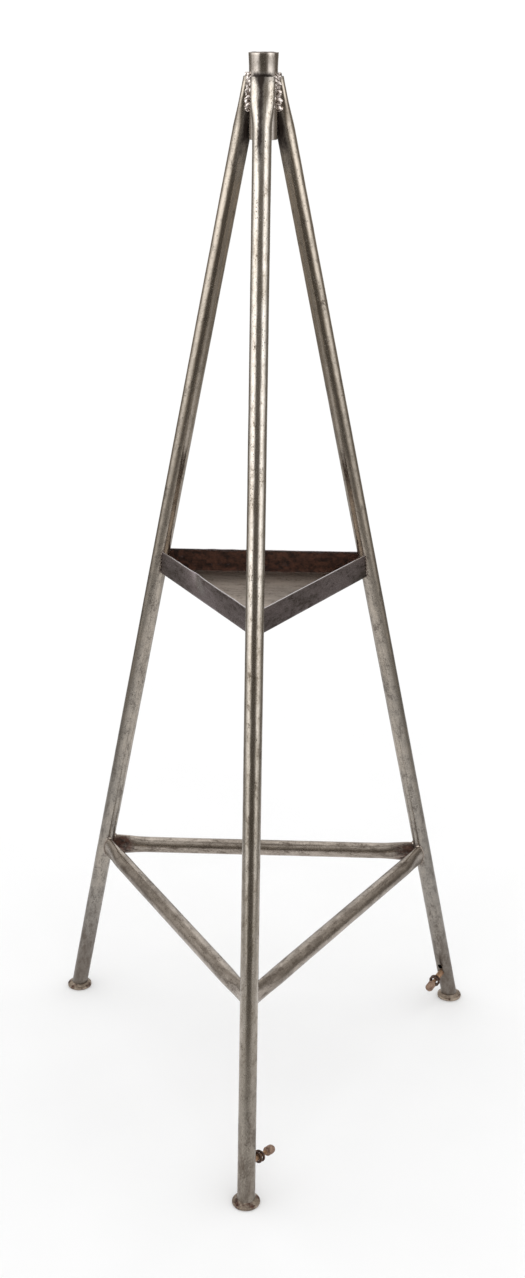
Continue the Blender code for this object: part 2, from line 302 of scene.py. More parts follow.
def bead(name, path, radius, seed, material, ripple, weave=0.0, lump=0.25, relief=0.20, sides=16):
    """A run of weld metal along path, with overlapping ripples, round ends and an uneven width."""
    path = np.asarray(path, float)
    lengths = np.concatenate([[0], np.cumsum(np.linalg.norm(np.diff(path, axis=0), axis=1))])
    count = max(int(lengths[-1] / (ripple / 6)), 24)
    along = np.linspace(0, lengths[-1], count)
    centre = joined(*(np.interp(along, lengths, path[:, i]) for i in range(3)))
    tangent = unit(np.gradient(centre, axis=0))
    side = unit(np.cross(tangent, [0.31, 0.17, 0.93]))
    up = np.cross(side, tangent)
    widths = np.atleast_1d(radius)
    radius = np.interp(along / lengths[-1], np.linspace(0, 1, len(widths)), widths)
    rows = []
    dips = []
    end = np.minimum(along, lengths[-1] - along)
    angles = full_turn(sides)
    for i in range(count):
        phase = along[i] / ripple + 0.35 * np.cos(angles) + 0.25 * np.sin(seed + angles)
        part = phase - np.floor(phase)
        crest = np.sqrt(np.clip(1 - (1.7 * part - 0.85) ** 2, 0, 1))
        size = radius[i] * (1.06 - relief + relief * crest)
        size = size * math.sqrt(max(1 - (1 - min(end[i] / radius[i], 1)) ** 2, 0.004))
        sway = weave * math.sin(math.pi * along[i] / ripple + seed)
        spokes = np.cos(angles)[:, None] * side[i] + np.sin(angles)[:, None] * up[i]
        rows.append(centre[i] + sway * side[i] + size[:, None] * spokes)
        dips.append(1 - crest)
    rows = np.array(rows)
    uneven = 1 + lump * (lumps(rows, 0.0021, seed) + lumps(rows, 0.005, seed + 3))
    rows = centre[:, None, :] + (rows - centre[:, None, :]) * uneven[..., None]
    weld = loft(name, rows)
    # How deep each place lies between the ripples guides the painted shade in the weld's hollows.
    paint(weld, rows.reshape(-1, 3), dip=np.array(dips).reshape(-1))
    finish_piece(weld, material)


def paint(thing, grain, **masks):
    """Stores the guides that the materials read, one value for each vertex."""
    mesh = thing.data
    layer = mesh.attributes.get("grain") or mesh.attributes.new("grain", "FLOAT_VECTOR", "POINT")
    layer.data.foreach_set("vector", np.asarray(grain, np.float32).ravel())
    for name, values in masks.items():
        layer = mesh.attributes.get(name) or mesh.attributes.new(name, "FLOAT", "POINT")
        full = np.broadcast_to(np.asarray(values, np.float32), len(mesh.vertices))
        layer.data.foreach_set("value", np.ascontiguousarray(full))


def finish_piece(thing, material, nodes=(), body="stand"):
    thing.data.shade_smooth()
    thing.data.set_sharp_from_angle(angle=SHARP)
    thing.data.materials.clear()
    thing.data.materials.append(material)
    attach(thing, body)
    if nodes:
        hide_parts(*nodes)


# Materials.

RUST_DARK = (0.020, 0.009, 0.006)
RUST_LIGHT = (0.130, 0.054, 0.032)


class Nodes:
    """A node tree, with short names for the nodes that the materials and the studio share."""

    def __init__(self, owner):
        owner.use_nodes = True
        self.owner = owner
        self.tree = owner.node_tree

    def node(self, kind, inputs=None, **settings):
        """A new node with these settings, and with its inputs fed."""
        node = self.tree.nodes.new("ShaderNode" + kind)
        for name, value in settings.items():
            setattr(node, name, value)
        self.feed(node, inputs or {})
        return node

    def feed(self, node, inputs):
        """Gives a node's inputs, by name or number, their values or the outputs that they are linked to."""
        for key, value in inputs.items():
            socket = node.inputs[key]
            if isinstance(value, bpy.types.NodeSocket):
                self.tree.links.new(value, socket)
            elif socket.type == "RGBA":
                socket.default_value = (*value, 1)
            else:
                socket.default_value = value

    def guide(self, name, output="Fac"):
        return self.node("Attribute", attribute_name=name).outputs[output]

    def place(self, kind):
        return self.node("TexCoord").outputs[kind]

    def stretched(self, vector, along, shift=0.0):
        """The vector with its third number divided by along, so that a texture is longer that way."""
        inputs = {"Vector": vector, "Scale": (1, 1, 1 / along), "Location": (shift, 2 * shift, 3 * shift)}
        return self.node("Mapping", inputs).outputs["Vector"]

    def noise(self, vector, size, detail=3.0, rough=0.55):
        """Noise from 0 to 1 with features of about size, in metres."""
        inputs = {"Vector": vector, "Scale": 1 / size, "Detail": detail, "Roughness": rough}
        return self.node("TexNoise", inputs).outputs["Fac"]

    def cells(self, vector, size):
        """(distance to the nearest point, a random number for each cell) of scattered points size apart."""
        node = self.node("TexVoronoi", {"Vector": vector, "Scale": 1 / size})
        channels = self.node("SeparateColor", {0: node.outputs["Color"]})
        return node.outputs["Distance"], channels.outputs[0]

    def warped(self, vector, size, amount):
        """The vector pushed about by noise, so that a texture loses its regular shapes."""
        push = self.node("TexNoise", {"Vector": vector, "Scale": 1 / size}).outputs["Color"]
        centred = self.node("VectorMath", {0: push, 1: (0.5, 0.5, 0.5)}, operation="SUBTRACT")
        inputs = {0: centred.outputs[0], 1: (amount, amount, amount), 2: vector}
        return self.node("VectorMath", inputs, operation="MULTIPLY_ADD").outputs[0]

    def ramp(self, value, start, end, low=0.0, high=1.0):
        """Smoothly from low at start to high at end, where start may be above end."""
        if start > end:
            start, end, low, high = end, start, high, low
        inputs = {"Value": value, "From Min": start, "From Max": end, "To Min": low, "To Max": high}
        return self.node("MapRange", inputs, interpolation_type="SMOOTHSTEP").outputs["Result"]

    def maths(self, operation, first, second=0.0):
        return self.node("Math", {0: first, 1: second}, operation=operation).outputs[0]

    def product(self, first, second):
        return self.maths("MULTIPLY", first, second)

    def total(self, *pairs):
        """The sum of value times weight."""
        result = None
        for value, weight in pairs:
            part = self.product(value, weight)
            result = part if result is None else self.maths("ADD", result, part)
        return result

    def mix(self, share, first, second):
        """A colour between two, share of the way from the first to the second."""
        return self.node("Mix", {0: share, 6: first, 7: second}, data_type="RGBA").outputs[2]

    def blend(self, share, first, second):
        """A number between two, in the same way."""
        return self.node("Mix", {0: share, 2: first, 3: second}, data_type="FLOAT").outputs[0]

    def bump(self, height, distance, strength=1.0, under=None):
        inputs = {"Height": height, "Distance": distance, "Strength": strength}
        if under is not None:
            inputs["Normal"] = under
        return self.node("Bump", inputs).outputs["Normal"]


class Look(Nodes):
    """A Principled material."""

    def __init__(self, name):
        super().__init__(bpy.data.materials.new(name))
        self.shader = self.tree.nodes["Principled BSDF"]

    def finish(self, colour, roughness, metallic, normal):
        inputs = {"Base Color": colour, "Roughness": roughness, "Metallic": metallic, "Normal": normal}
        self.feed(self.shader, inputs)
        return self.owner


def aged_steel(
    name, bright, dull, brown,
    smooth=0.15, matt=0.31, pits=0.55, haze=0.0, streak=0.35, mottle=0.60, spread=0.96
):
    """Bare steel, from polished to dull with age, with streaks, stains, pits, rust, dark oxide and wear,
    and with the painted shade and painted highlight that its guides carry.

    A small spread sets its bright and dull patches sharply apart.
    """
    look = Look(name)
    grain = look.guide("grain", "Vector")
    age = look.guide("age")
    lines = look.noise(look.stretched(grain, 22), 0.0010, 2)
    stains = look.noise(look.stretched(grain, 2.2, 3.1), 0.010, 5, 0.65)
    clouds = look.noise(look.stretched(grain, 3.0, 7.7), 0.05, 3)
    speckle = look.noise(look.stretched(grain, 1.5, 5.3), 0.0021, 4, 0.75)
    waves = look.noise(look.stretched(grain, 3.5, 2.9), 0.0075, 2)
    tone = look.total((age, 0.34), (stains, 1.00), (clouds, mottle), (lines, streak), (speckle, 1.00))
    middle = 0.5 * (2.00 + mottle + streak) + 0.18 - haze
    dulled = look.ramp(tone, middle - spread / 2, middle + spread / 2)
    handled = tuple(0.42 * a + 0.58 * b for a, b in zip(bright, dull))
    grey = sum(dull) / 3
    weathered = tuple(0.5 * part + 0.5 * grey for part in dull)
    colour = look.mix(dulled, look.mix(age, bright, handled), look.mix(age, dull, weathered))
    stain = look.ramp(look.total((stains, 1.0), (speckle, 0.80), (age, 0.10)), 0.98, 1.22)
    colour = look.mix(look.product(stain, look.blend(age, 0.85, 0.45)), colour, brown)
    grime = look.ramp(look.total((age, 1.0), (speckle, 0.9), (stains, 0.9)), 1.80, 2.75, 0.0, 0.60)
    colour = look.mix(grime, colour, brown)
    ragged = look.warped(look.stretched(grain, 1.5, 1.3), 0.0008, 0.0017)
    distance, chance = look.cells(ragged, 0.0018)
    crowd = look.noise(look.stretched(grain, 2.5, 4.4), 0.020, 3, 0.75)
    sparse = look.ramp(crowd, 0.47, 0.70, 1.0, 1 - pits)
    filled = look.ramp(look.maths("SUBTRACT", chance, sparse), 0.0, 0.12)
    pit = look.product(look.ramp(distance, 0.44, 0.24), filled)
    colour = look.mix(look.product(pit, 0.85), colour, (0.070, 0.054, 0.042))
    # The near-black mix is dark oxide from weld heat, and also painted shade where a piece's guide carries
    # it: on the socket round the legs' heads and on the inner sides of those heads.
    scale = look.ramp(look.total((look.guide("scale"), 1.0), (speckle, 0.5), (stains, 0.7)), 0.72, 1.55)
    colour = look.mix(scale, colour, (0.034, 0.024, 0.019))
    rust_tone = look.noise(look.stretched(grain, 1.2, 9.1), 0.006, 4, 0.65)
    rust = look.ramp(look.total((look.guide("rust"), 1.0), (stains, 0.7), (speckle, 0.4)), 0.85, 1.20)
    colour = look.mix(rust, colour, look.mix(look.ramp(rust_tone, 0.32, 0.72), RUST_DARK, RUST_LIGHT))
    # Pale steel where the surface is rubbed bright, and a painted highlight where a piece's guide carries
    # one, as at the dent in the left tray wall.
    wear_and_highlight = look.ramp(look.total((look.guide("wear"), 1.0), (speckle, 0.6)), 0.70, 1.05)
    colour = look.mix(wear_and_highlight, colour, (0.62, 0.59, 0.61))
    plain = look.blend(dulled, smooth, matt)
    rough = look.total((plain, 1.0), (stain, 0.10), (pit, 0.30), (scale, 0.25), (rust, 0.26), (wear_and_highlight, -0.08))
    metal = look.total((1.0, 1.0), (pit, -0.5), (rust, -0.62), (scale, -0.45))
    relief = look.bump(look.total((waves, 1.0), (stains, 0.35)), 0.00028)
    fine = look.total((speckle, 0.45), (lines, 0.20), (pit, -0.30), (rust_tone, 0.25))
    return look.finish(colour, rough, metal, look.bump(fine, 0.00014, 0.8, relief))


def weld_metal():
    look = Look("weld_metal")
    grain = look.guide("grain", "Vector")
    fine = look.noise(grain, 0.0008, 4, 0.7)
    patches = look.noise(grain, 0.0036, 3)
    # Painted shade, mixed with dark oxide: the hollows between the ripples are darkened almost to black and
    # lose some of their shine.
    dip = look.ramp(look.total((look.guide("dip"), 1.0), (patches, 0.8), (fine, 0.6)), 0.80, 1.15)
    colour = look.mix(dip, (0.86, 0.79, 0.75), (0.055, 0.032, 0.022))
    colour = look.mix(look.ramp(patches, 0.56, 0.72), colour, (0.20, 0.115, 0.075))
    rough = look.total((dip, 0.30), (fine, 0.20), (0.13, 1.0))
    metal = look.total((1.0, 1.0), (dip, -0.35))
    relief = look.bump(look.total((fine, 0.6), (patches, 0.5)), 0.0005, 0.9)
    return look.finish(colour, rough, metal, relief)


def rusted(name, light, dark, metallic, rough, grit=0.0008, relief=0.0003):
    """Steel that is rusty all over, in two tones."""
    look = Look(name)
    grain = look.guide("grain", "Vector")
    fine = look.noise(grain, grit, 4, 0.7)
    patches = look.noise(look.stretched(grain, 1.0, 2.3), 0.0045, 4, 0.6)
    colour = look.mix(look.ramp(look.total((patches, 0.8), (fine, 0.4)), 0.42, 0.80), light, dark)
    spots = look.ramp(look.noise(look.stretched(grain, 1.0, 6.1), 0.0016, 2), 0.60, 0.70)
    colour = look.mix(look.product(spots, 0.6), colour, (0.045, 0.026, 0.018))
    roughness = look.total((fine, 0.25), (rough - 0.12, 1.0))
    metal = look.total((patches, 0.3), (metallic - 0.15, 1.0))
    return look.finish(colour, roughness, metal, look.bump(look.total((fine, 0.7), (patches, 0.6)), relief))


def floor_material():
    look = Look("studio_floor")
    speck = look.ramp(look.noise(look.place("Object"), 0.35, 2), 0.3, 0.7)
    colour = look.mix(speck, (0.90, 0.90, 0.90), (0.92, 0.92, 0.92))
    look.feed(look.shader, {"Base Color": colour, "Roughness": 0.9, "Specular IOR Level": 0.0})
    return look.owner


STEEL = aged_steel(
    "aged_tube", (0.65, 0.612, 0.565), (0.300, 0.250, 0.184), (0.12, 0.092, 0.070), mottle=0.8
)
# The two rear legs have their own, warmer copy of the steel, whose colours paint the browner reflections
# that those legs show; they are greyer near their feet.
REAR_STEEL = aged_steel(
    "rear_tube_reflection_tint", (0.66, 0.587, 0.500), (0.280, 0.255, 0.222), (0.12, 0.092, 0.070), mottle=0.8
)
SOCKET_STEEL = aged_steel(
    "aged_socket", (0.58, 0.535, 0.49), (0.27, 0.23, 0.19), (0.12, 0.09, 0.066), pits=0.2
)
BRACE_STEEL = aged_steel(
    "aged_brace", (0.62, 0.560, 0.500), (0.235, 0.190, 0.148), (0.10, 0.072, 0.052),
    smooth=0.22, haze=-0.02, streak=0.6, mottle=1.0, spread=0.70
)
SHEET_STEEL = aged_steel(
    "browned_sheet", (0.46, 0.405, 0.430), (0.138, 0.108, 0.097), (0.060, 0.040, 0.034),
    smooth=0.26, matt=0.40, pits=0.15, mottle=1.6, spread=0.46
)
FLOOR_STEEL = aged_steel(
    "tray_floor_steel", (0.47, 0.405, 0.345), (0.210, 0.170, 0.138), (0.085, 0.058, 0.044),
    smooth=0.40, matt=0.52, pits=0.25, streak=0.9, mottle=1.6
)
FOOT_STEEL = aged_steel(
    "stained_foot", (0.50, 0.420, 0.340), (0.22, 0.168, 0.122), (0.12, 0.076, 0.050),
    smooth=0.34, matt=0.50, pits=0.5, spread=0.60
)
WELD = weld_metal()
BRACE_WELD = aged_steel(
    "brace_weld_steel", (0.62, 0.57, 0.52), (0.26, 0.21, 0.175), (0.12, 0.08, 0.055), haze=0.25
)
TRAY_WELD = aged_steel(
    "tray_weld_steel", (0.28, 0.24, 0.21), (0.11, 0.085, 0.068), (0.06, 0.038, 0.028), haze=0.2
)
NUT_RUST = rusted("nut_rust", (0.37, 0.250, 0.180), (0.165, 0.098, 0.068), 0.35, 0.66)
STUD_RUST = rusted("stud_rust", (0.50, 0.315, 0.185), (0.24, 0.130, 0.078), 0.6, 0.45)
SPRING_SCALE = rusted("spring_scale", (0.050, 0.034, 0.028), (0.150, 0.092, 0.068), 0.85, 0.40)


# The socket and the legs.

def leg_rings(heights, offset, seed=None):
    """Level sections of a leg that points along +X, moved outwards by offset, slightly uneven if seeded."""
    heights = np.asarray(heights)[:, None]
    angles = full_turn(TUBE_SIDES)
    half_width, half_depth = head_section(heights)
    across = np.cos(angles) * (half_depth + offset)
    aside = np.sin(angles) * (half_width + offset)
    if seed is not None:
        place = joined(across, aside, heights)
        uneven = 0.00012 * lumps(place, 0.013, seed, 4.5) + 0.00008 * lumps(place, 0.006, seed + 5, 2.0)
        across = across * (1 + uneven / LEG_RADIUS)
        aside = aside * (1 + uneven / LEG_RADIUS)
    return joined(leg_radius(heights) + across, aside, heights)


def leg_heights(bottom, top):
    plain = np.arange(bottom, SQUASH_START_Z, RING_STEP)
    head = np.linspace(SQUASH_START_Z, top, 14)
    return np.concatenate([plain, head])


def leg_space(name):
    """The space that a leg takes up, as a cutter for what is welded to it."""
    rings = leg_rings(leg_heights(0.0, LEG_TOP_Z), WELD_GAP)
    return loft("space_" + name, turned(rings, LEGS[name]))


def stud_frame(name):
    """A stud's frame: origin on its leg's centreline, +Z along the stud, +Y up the leg."""
    joint = next(j for j in frame["joints"] if j["name"] == name + "_nut_turn")
    azimuth = LEGS[name]
    up = (Vector((0, 0, 1)) - SHIN_SLOPE * Vector(heading(azimuth))).normalized()
    along = Vector(joint["axis"]).normalized()
    side = up.cross(along)
    matrix = Matrix((side, up, along)).transposed().to_4x4()
    centre = AXIS + heading(azimuth) * float(leg_radius(STUD_Z))
    matrix.translation = Vector((centre[0], centre[1], STUD_Z))
    return matrix


def hole_pin(frame_matrix, radius, rise):
    """A cutter for a hole through a leg's wall, along its stud's frame."""
    start, end = 0.0045, 2 * LEG_RADIUS
    pin = lathe("pin", [(0, end), (radius, end), (radius, start), (0, start)], 32)
    pin.data.transform(frame_matrix @ Matrix.Translation((0, rise, 0)))
    return pin


def build_socket():
    outer = SOCKET_RADIUS
    inner = outer - SOCKET_WALL
    edge = 0.0005
    flare = 0.0008
    flare_start = SOCKET_TOP_Z - 0.0206
    profile = [(inner + edge, SOCKET_BOTTOM_Z), (outer - edge, SOCKET_BOTTOM_Z)]
    profile += [(outer, SOCKET_BOTTOM_Z + edge)]
    profile += [(outer, z) for z in np.linspace(SOCKET_BOTTOM_Z + 0.004, flare_start, 22)]
    for z in np.linspace(flare_start + 0.002, SOCKET_TOP_Z - 0.0006, 9):
        profile.append((outer + flare * step(z, flare_start, SOCKET_TOP_Z - 0.001), z))
    profile += [(outer + flare - 0.0003, SOCKET_TOP_Z - 0.0001), (outer + 0.0002, SOCKET_TOP_Z)]
    profile += [(inner + flare + edge, SOCKET_TOP_Z), (inner + flare, SOCKET_TOP_Z - edge)]
    profile += [(inner, z) for z in np.linspace(flare_start, SOCKET_BOTTOM_Z + edge, 10)]
    socket = lathe("socket_tube_body", profile, SOCKET_SIDES, loop=True)
    local = points_of(socket)
    points = local + AXIS
    rim = step(points[:, 2], SOCKET_TOP_Z - 0.004, SOCKET_TOP_Z)
    radial = unit(local * [1, 1, 0])
    uneven = 0.00010 * lumps(local, 0.012, 3, 2.5) + 0.00022 * rim * lumps(local, 0.006, 8)
    points = points + radial * uneven[:, None]
    points[:, 2] -= rim * 0.00035 * (0.5 + lumps(local, 0.009, 12))
    move_points(socket, points)
    inside = step(from_axis(local), outer - 0.0008, inner + 0.0012)
    near_leg = np.zeros(len(points))
    for azimuth in LEGS.values():
        along = turned_back(points, azimuth)
        turn = np.abs(np.arctan2(along[:, 1], along[:, 0]))
        near_leg = np.maximum(near_leg, 1 - step(turn, 0.45, 1.10))
    z = points[:, 2]
    over_legs = z - LEG_TOP_Z
    # Painted shadow: a dark band on the socket just over each leg's top end, where that end shades it,
    # mixed with a little weld scorch.
    above = step(over_legs, -0.004, -0.001) * (1 - step(over_legs, 0.0012, 0.0085))
    # Painted shade: the lower part of the socket beside each leg, where the narrow gap between them lies in
    # shade, is darkened at half strength, mixed with some weld scorch.
    gap_shade_and_scorch = (1 - step(z, SQUASH_START_Z, SQUASH_START_Z + 0.03)) * 0.5
    scale = near_leg * np.maximum(above * 1.1, gap_shade_and_scorch) * (1 - inside)
    wear = 0.45 * rim * (1 - inside)
    paint(socket, local + [0, 0, 5.0], age=0.12 + 0.2 * inside, rust=0.55 * inside, scale=scale, wear=wear)
    finish_piece(socket, SOCKET_STEEL, ["socket_tube"])


def socket_space():
    radius = SOCKET_RADIUS + WELD_GAP
    bottom = SOCKET_BOTTOM_Z - 0.003
    profile = [(0, SOCKET_TOP_Z), (radius, SOCKET_TOP_Z), (radius, bottom), (0, bottom)]
    space = lathe("space_socket", profile, SOCKET_SIDES)
    space.data.transform(Matrix.Translation(AXIS))
    return space


def build_leg(name, seed, cutters):
    azimuth = LEGS[name]
    bottom = FOOT_THICKNESS + 0.0001
    outer = leg_rings(leg_heights(bottom, LEG_TOP_Z), 0, seed)
    inner_heights = [LEG_TOP_Z, 1.49, SQUASH_END_Z, 1.465, 1.454, 1.443, SQUASH_START_Z, KNEE_Z, bottom]
    inner = leg_rings(inner_heights, -TUBE_WALL)
    leg = loft("leg_tube_" + name, turned(np.concatenate([outer, inner]), azimuth), loop=True)
    carve(leg, *cutters)
    points = points_of(leg)
    local = turned_back(points, azimuth)
    z = local[:, 2]
    centred = local - joined(leg_radius(z), 0, 0)
    grain = centred * [1, 1, LEAN_STRETCH] + [0, 0, 0.7 * seed]
    age = 0.78 * (1 - step(z, 0.25, 1.25)) + 1 - step(z, 0.0, 0.30)
    if name == "front":
        # It is handled the most.
        age = age - 0.30 * (1 - step(z, 0.3, 0.7))
    inwards = step(-centred[:, 0], 0.001, 0.010)
    head = step(z, 1.33, 1.44)
    ring = 1 - step(np.abs(z - KNEE_Z), 0.016, 0.045)
    tray = 1 - step(np.abs(z - (TRAY_BOTTOM_Z + TRAY_TOP_Z) / 2), 0.018, 0.034)
    tip = step(z, LEG_TOP_Z - 0.0022, LEG_TOP_Z - 0.0006)
    rust = 0.42 * inwards * ring + 0.38 * inwards * tray
    scorch = 0.95 * np.exp(-((centred[:, 1] + 0.002) / 0.0045) ** 2) * step(z, 1.34, 1.43)
    scorch = scorch + 0.45 * step(z, LEG_TOP_Z - 0.014, LEG_TOP_Z - 0.002)
    # Painted shade, mixed with weld scorch: the inner side of each leg's head, which faces the socket
    # across a narrow groove, is darkened nearly to black.
    scale = 0.95 * inwards * head + (1 - inwards) * scorch
    paint(leg, grain, age=age, rust=rust, scale=scale, wear=0.35 * tip)
    finish_piece(leg, STEEL if name == "front" else REAR_STEEL, ["leg_" + name])


# The braces.

def brace_rings(offset, seed=None):
    """Sections of a brace that lies along X and faces +Y, its middle at the origin."""
    half = BRACE_HALF_LENGTH
    pinch_end = half - BRACE_PINCH_LENGTH
    flare_end = half - BRACE_FLARE_LENGTH
    ends = [*np.linspace(half, pinch_end, 6), *np.linspace(pinch_end, flare_end, 11)[1:]]
    stations = np.array([*ends, *np.arange(flare_end - RING_STEP, 0, -RING_STEP)])
    stations = np.concatenate([-stations, stations[::-1]])
    angles = full_turn(TUBE_SIDES)
    rings = []
    for along in stations:
        pinch = 1 - step(half - abs(along), BRACE_PINCH_LENGTH, BRACE_FLARE_LENGTH)
        half_width = BRACE_RADIUS + pinch * (BRACE_END_HALF_WIDTH - BRACE_RADIUS) + offset
        half_height = BRACE_RADIUS + pinch * (BRACE_END_HALF_HEIGHT - BRACE_RADIUS) + offset
        y = half_width * np.cos(angles)
        z = half_height * np.sin(angles)
        # The ends follow the plane in which two braces meet, on their inner side.
        room = half + math.sqrt(3) * np.minimum(0, y)
        x = np.sign(along) * np.minimum(abs(along), room - WELD_GAP)
        rings.append(joined(x, y, z))
    rings = np.array(rings)
    if seed is not None:
        uneven = 0.00014 * lumps(rings[..., [1, 2, 0]], 0.014, seed, 4.0)
        uneven = uneven + 0.0001 * lumps(rings[..., [1, 2, 0]], 0.006, seed + 2, 2.0)
        rings[..., 1:] *= (1 + uneven / BRACE_RADIUS)[..., None]
    return rings


def side_place(points, azimuth, distance, height):
    """Points of a piece that lies along X and faces +Y, put at distance along azimuth, at height."""
    local = joined(points[..., 1] + distance, -points[..., 0], points[..., 2] + height)
    return turned(local, azimuth)


def side_local(thing, azimuth, distance, height):
    """(across, up, along) of every vertex of such a piece: the opposite of side_place."""
    local = turned_back(points_of(thing), azimuth)
    return local[:, 0] - distance, local[:, 2] - height, -local[:, 1]


def build_brace(name, seed, cutters):
    azimuth = SIDES[name]
    rings = np.concatenate([brace_rings(0, seed), brace_rings(-TUBE_WALL)[::-1]])
    brace = loft("brace_tube_" + name, side_place(rings, azimuth, KNEE_RADIUS / 2, KNEE_Z), loop=True)
    carve(brace, *cutters)
    across, up, along = side_local(brace, azimuth, KNEE_RADIUS / 2, KNEE_Z)
    grain = joined(across, up, along + 0.9 * seed)
    from_end = BRACE_HALF_LENGTH - np.abs(along)
    inner = step(-across, -0.004, 0.007)
    rust = (0.25 + 0.35 * inner) * (1 - step(from_end, 0.030, 0.075))
    paint(brace, grain, age=0.62, rust=rust, scale=0, wear=0)
    finish_piece(brace, BRACE_STEEL, ["brace_" + name])


# The tray.

def rounded_strip(thickness, height, radius, arc=4):
    """A closed outline of (across, up) points, centred, with its corners rounded."""
    outline = []
    corners = ((1, -1, -90), (1, 1, 0), (-1, 1, 90), (-1, -1, 180))
    for sx, sy, start in corners:
        cx = sx * (thickness / 2 - radius)
        cy = sy * (height / 2 - radius)
        for i in range(arc + 1):
            angle = math.radians(start + 90 * i / arc)
            outline.append((cx + radius * math.cos(angle), cy + radius * math.sin(angle)))
        if sx == sy:
            continue
        ends = cy, -cy
        for part in np.linspace(0, 1, 12)[1:-1]:
            outline.append((sx * thickness / 2, ends[0] + part * (ends[1] - ends[0])))
    return np.array(outline)


def build_wall(name, seed, cutters):
    azimuth = SIDES[name]
    height = TRAY_TOP_Z - TRAY_BOTTOM_Z
    half = math.sqrt(3) / 2 * float(leg_radius((TRAY_BOTTOM_Z + TRAY_TOP_Z) / 2))
    outline = rounded_strip(TRAY_SHEET, height, 0.0005)
    rings = joined(np.linspace(-half, half, 112)[:, None], outline[:, 0], outline[:, 1])
    flat = rings * [1, 0, 1]
    up = step(rings[..., 2], -height / 2, height / 2)
    free = 1 - step(np.abs(rings[..., 0]), half - 0.03, half)
    bow = 0.0006 * lumps(flat, 0.055, seed) + 0.00025 * lumps(flat, 0.016, seed + 4)
    rings[..., 1] += bow * (0.35 + 0.65 * up) * free
    near_edge = step(rings[..., 2], height / 2 - 0.004, height / 2)
    rings[..., 2] -= 0.00035 * near_edge * free * (0.4 + lumps(flat, 0.012, seed + 9))
    if name == "left":
        place = rings - np.array([DENT_ALONG * half, 0, height / 2])
        dent = np.exp(-(place[..., 0] / 0.015) ** 2 - (place[..., 2] / 0.017) ** 2)
        rings[..., 1] -= 0.0030 * dent
        rings[..., 2] -= 0.0012 * dent * step(rings[..., 2], 0, height / 2)
    middle_z = (TRAY_TOP_Z + TRAY_BOTTOM_Z) / 2
    centre = TRAY_INRADIUS - TRAY_SHEET / 2
    wall = loft("tray_wall_sheet_" + name, side_place(rings, azimuth, centre, middle_z))
    carve(wall, *cutters)
    across, up, along = side_local(wall, azimuth, centre, middle_z)
    inside = step(points_of(wall, "normal") @ -heading(azimuth), 0.2, 0.8)
    edge = step(up, height / 2 - 0.0011, height / 2 - 0.0004)
    low_edge = step(-up, height / 2 - 0.0009, height / 2 - 0.0004)
    grain = joined(across, up, along + 1.3 * seed)
    wear_and_highlight = 0.85 * edge + 0.25 * low_edge
    pale = 0
    if name == "left":
        # Painted highlight: a pale patch at and under the dent, and a brighter slanting band through it,
        # stand in for the light that the dented sheet catches there.
        under_edge = up - height / 2
        lean = along - DENT_ALONG * half - 0.9 * under_edge
        near = np.exp(-(lean / 0.024) ** 2 - ((under_edge + 0.014) / 0.018) ** 2) * (1 - inside)
        wear_and_highlight = np.maximum(wear_and_highlight, 0.78 * near)
        pale = np.exp(-(lean / 0.042) ** 2) * (1 - inside)
    low = 1 - step(up, -height / 2 + 0.003, -height / 2 + 0.010)
    rust = inside * (0.72 + 0.10 * lumps(points_of(wall), 0.03, seed)) * (1 - edge)
    dull = 0.25 * step(np.abs(along), 0.25 * half, half)
    # Less age brightens the painted highlight's band.
    age = 0.5 + 0.3 * inside + dull - 1.1 * pale
    paint(wall, grain, age=age, rust=rust, scale=0.55 * inside * low, wear=wear_and_highlight)
    finish_piece(wall, SHEET_STEEL, ["tray_wall_" + name])


def build_tray_floor(cutters):
    """A triangular plate, a little uneven, its corners cut to clear the legs."""
    corner = 2 * (TRAY_INRADIUS - TRAY_SHEET - 0.0002)
    tips = [turned([corner, 0, 0], azimuth) for azimuth in LEGS.values()]
    rows = 56
    top = []
    faces = []
    index = {}
    for i in range(rows + 1):
        for j in range(rows + 1 - i):
            k = rows - i - j
            index[i, j] = len(top)
            top.append((i * tips[0] + j * tips[1] + k * tips[2]) / rows)
    top = np.array(top)
    count = len(top)
    for i in range(rows):
        for j in range(rows - i):
            a, b, c = index[i, j], index[i + 1, j], index[i, j + 1]
            faces.append((a, b, c))
            if j + 1 < rows - i:
                faces.append((b, index[i + 1, j + 1], c))
    faces += [(a + count, c + count, b + count) for a, b, c in faces]
    rim = [index[i, 0] for i in range(rows)]
    rim += [index[rows - j, j] for j in range(rows)]
    rim += [index[0, rows - j] for j in range(rows)]
    for a, b in zip(rim, rim[1:] + rim[:1]):
        faces.append((a, b, b + count, a + count))
    wave = 0.00035 * lumps(top, 0.045, 21) + 0.00012 * lumps(top, 0.014, 23)
    upper = top + joined(0, 0, TRAY_BOTTOM_Z + TRAY_SHEET + np.minimum(wave, 0.0002))
    lower = top + joined(0, 0, TRAY_BOTTOM_Z + np.maximum(wave, 0))
    floor = mesh_object("tray_floor_sheet", np.concatenate([upper, lower]), faces)
    carve(floor, *cutters)
    points = points_of(floor)
    local = points - AXIS
    reach = [local @ heading(azimuth) for azimuth in SIDES.values()]
    from_side = TRAY_INRADIUS - np.max(reach, axis=0)
    seam = 1 - step(from_side, 0.001, 0.015)
    grain = local[:, [1, 2, 0]] + [3.0, 0, 0]
    above = step(points[:, 2], TRAY_BOTTOM_Z + 0.0008, TRAY_BOTTOM_Z + 0.0014)
    rust = (0.20 + 0.35 * seam + 0.15 * lumps(points, 0.04, 31)) * above
    paint(floor, grain, age=0.45, rust=rust, scale=0.65 * seam * above, wear=0)
    finish_piece(floor, FLOOR_STEEL, ["tray_floor"])


# The feet.

